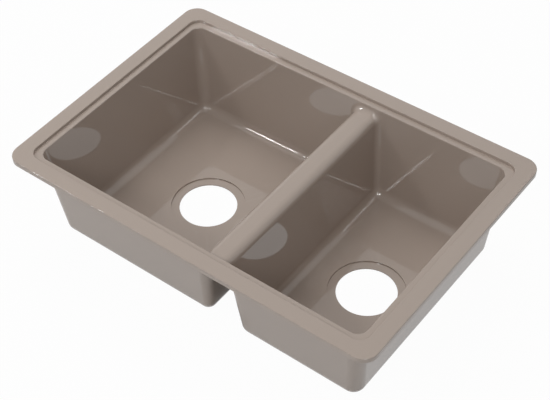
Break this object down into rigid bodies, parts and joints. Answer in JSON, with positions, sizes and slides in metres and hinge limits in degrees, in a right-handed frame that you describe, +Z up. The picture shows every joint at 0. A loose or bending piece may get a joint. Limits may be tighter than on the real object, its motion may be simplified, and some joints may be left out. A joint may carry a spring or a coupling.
{
  "type": "double bowl kitchen sink",
  "caption": "Drop-in moulded plastic double bowl sink with a wide and a narrow bowl, a lowered ledge inside the rim, open drain holes and swing-out clamps under the rim.",
  "frame": {"origin": "middle of the sink's footprint at the underside of the bowls, where it stands", "axes": "+X along the long side towards the narrow bowl, +Y from the front to the back, +Z up out of the bowls"},
  "size_m": [0.635, 0.4318, 0.1651],
  "materials": {
    "taupe_plastic": "glossy moulded",
    "foam_rubber": "closed-cell foam",
    "plated_steel": "zinc plated"
  },
  "bodies": {
    "sink": {"sink_moulding": "taupe_plastic", "rim_seal": "foam_rubber", "stud_set": "plated_steel"},
    "washer_front_left": {"washer_front_left": "plated_steel"},
    "clamp_arm_front_left": {"clamp_arm_front_left": "plated_steel"},
    "wing_nut_front_left": {"wing_nut_front_left": "plated_steel"},
    "washer_back_left": {"washer_back_left": "plated_steel"},
    "clamp_arm_back_left": {"clamp_arm_back_left": "plated_steel"},
    "wing_nut_back_left": {"wing_nut_back_left": "plated_steel"},
    "washer_front_middle": {"washer_front_middle": "plated_steel"},
    "clamp_arm_front_middle": {"clamp_arm_front_middle": "plated_steel"},
    "wing_nut_front_middle": {"wing_nut_front_middle": "plated_steel"},
    "washer_back_middle": {"washer_back_middle": "plated_steel"},
    "clamp_arm_back_middle": {"clamp_arm_back_middle": "plated_steel"},
    "wing_nut_back_middle": {"wing_nut_back_middle": "plated_steel"},
    "washer_front_right": {"washer_front_right": "plated_steel"},
    "clamp_arm_front_right": {"clamp_arm_front_right": "plated_steel"},
    "wing_nut_front_right": {"wing_nut_front_right": "plated_steel"},
    "washer_back_right": {"washer_back_right": "plated_steel"},
    "clamp_arm_back_right": {"clamp_arm_back_right": "plated_steel"},
    "wing_nut_back_right": {"wing_nut_back_right": "plated_steel"},
    "washer_left": {"washer_left": "plated_steel"},
    "clamp_arm_left": {"clamp_arm_left": "plated_steel"},
    "wing_nut_left": {"wing_nut_left": "plated_steel"},
    "washer_right": {"washer_right": "plated_steel"},
    "clamp_arm_right": {"clamp_arm_right": "plated_steel"},
    "wing_nut_right": {"wing_nut_right": "plated_steel"}
  },
  "joints": [
    {"name": "clamp_travel_front_left", "type": "slide", "parent": "sink", "child": "washer_front_left", "axis": [0, 0, -1], "range_m": [0, 0.014]},
    {"name": "arm_swing_front_left", "type": "hinge", "parent": "washer_front_left", "child": "clamp_arm_front_left", "pos_m": [-0.205, -0.1934, 0.1488], "axis": [0, 0, 1], "range_deg": [-180, 0]},
    {"name": "nut_turn_front_left", "type": "hinge", "parent": "washer_front_left", "child": "wing_nut_front_left", "pos_m": [-0.205, -0.1934, 0.1478], "axis": [0, 0, -1], "range_deg": [0, 6300.01]},
    {"name": "clamp_travel_back_left", "type": "slide", "parent": "sink", "child": "washer_back_left", "axis": [0, 0, -1], "range_m": [0, 0.014]},
    {"name": "arm_swing_back_left", "type": "hinge", "parent": "washer_back_left", "child": "clamp_arm_back_left", "pos_m": [-0.205, 0.1934, 0.1488], "axis": [0, 0, 1], "range_deg": [-180, 0]},
    {"name": "nut_turn_back_left", "type": "hinge", "parent": "washer_back_left", "child": "wing_nut_back_left", "pos_m": [-0.205, 0.1934, 0.1478], "axis": [0, 0, -1], "range_deg": [0, 6300.01]},
    {"name": "clamp_travel_front_middle", "type": "slide", "parent": "sink", "child": "washer_front_middle", "axis": [0, 0, -1], "range_m": [0, 0.014]},
    {"name": "arm_swing_front_middle", "type": "hinge", "parent": "washer_front_middle", "child": "clamp_arm_front_middle", "pos_m": [0, -0.1934, 0.1488], "axis": [0, 0, 1], "range_deg": [-180, 0]},
    {"name": "nut_turn_front_middle", "type": "hinge", "parent": "washer_front_middle", "child": "wing_nut_front_middle", "pos_m": [0, -0.1934, 0.1478], "axis": [0, 0, -1], "range_deg": [0, 6300.01]},
    {"name": "clamp_travel_back_middle", "type": "slide", "parent": "sink", "child": "washer_back_middle", "axis": [0, 0, -1], "range_m": [0, 0.014]},
    {"name": "arm_swing_back_middle", "type": "hinge", "parent": "washer_back_middle", "child": "clamp_arm_back_middle", "pos_m": [0, 0.1934, 0.1488], "axis": [0, 0, 1], "range_deg": [-180, 0]},
    {"name": "nut_turn_back_middle", "type": "hinge", "parent": "washer_back_middle", "child": "wing_nut_back_middle", "pos_m": [0, 0.1934, 0.1478], "axis": [0, 0, -1], "range_deg": [0, 6300.01]},
    {"name": "clamp_travel_front_right", "type": "slide", "parent": "sink", "child": "washer_front_right", "axis": [0, 0, -1], "range_m": [0, 0.014]},
    {"name": "arm_swing_front_right", "type": "hinge", "parent": "washer_front_right", "child": "clamp_arm_front_right", "pos_m": [0.205, -0.1934, 0.1488], "axis": [0, 0, 1], "range_deg": [-180, 0]},
    {"name": "nut_turn_front_right", "type": "hinge", "parent": "washer_front_right", "child": "wing_nut_front_right", "pos_m": [0.205, -0.1934, 0.1478], "axis": [0, 0, -1], "range_deg": [0, 6300.01]},
    {"name": "clamp_travel_back_right", "type": "slide", "parent": "sink", "child": "washer_back_right", "axis": [0, 0, -1], "range_m": [0, 0.014]},
    {"name": "arm_swing_back_right", "type": "hinge", "parent": "washer_back_right", "child": "clamp_arm_back_right", "pos_m": [0.205, 0.1934, 0.1488], "axis": [0, 0, 1], "range_deg": [-180, 0]},
    {"name": "nut_turn_back_right", "type": "hinge", "parent": "washer_back_right", "child": "wing_nut_back_right", "pos_m": [0.205, 0.1934, 0.1478], "axis": [0, 0, -1], "range_deg": [0, 6300.01]},
    {"name": "clamp_travel_left", "type": "slide", "parent": "sink", "child": "washer_left", "axis": [0, 0, -1], "range_m": [0, 0.014]},
    {"name": "arm_swing_left", "type": "hinge", "parent": "washer_left", "child": "clamp_arm_left", "pos_m": [-0.295, 0, 0.1488], "axis": [0, 0, 1], "range_deg": [-180, 0]},
    {"name": "nut_turn_left", "type": "hinge", "parent": "washer_left", "child": "wing_nut_left", "pos_m": [-0.295, 0, 0.1478], "axis": [0, 0, -1], "range_deg": [0, 6300.01]},
    {"name": "clamp_travel_right", "type": "slide", "parent": "sink", "child": "washer_right", "axis": [0, 0, -1], "range_m": [0, 0.014]},
    {"name": "arm_swing_right", "type": "hinge", "parent": "washer_right", "child": "clamp_arm_right", "pos_m": [0.295, 0, 0.1488], "axis": [0, 0, 1], "range_deg": [-180, 0]},
    {"name": "nut_turn_right", "type": "hinge", "parent": "washer_right", "child": "wing_nut_right", "pos_m": [0.295, 0, 0.1478], "axis": [0, 0, -1], "range_deg": [0, 6300.01]}
  ],
  "couplings": [
    {"joint": "nut_turn_front_left", "follows": "clamp_travel_front_left", "rad_per_m": 7854},
    {"joint": "nut_turn_back_left", "follows": "clamp_travel_back_left", "rad_per_m": 7854},
    {"joint": "nut_turn_front_middle", "follows": "clamp_travel_front_middle", "rad_per_m": 7854},
    {"joint": "nut_turn_back_middle", "follows": "clamp_travel_back_middle", "rad_per_m": 7854},
    {"joint": "nut_turn_front_right", "follows": "clamp_travel_front_right", "rad_per_m": 7854},
    {"joint": "nut_turn_back_right", "follows": "clamp_travel_back_right", "rad_per_m": 7854},
    {"joint": "nut_turn_left", "follows": "clamp_travel_left", "rad_per_m": 7854},
    {"joint": "nut_turn_right", "follows": "clamp_travel_right", "rad_per_m": 7854}
  ]
}
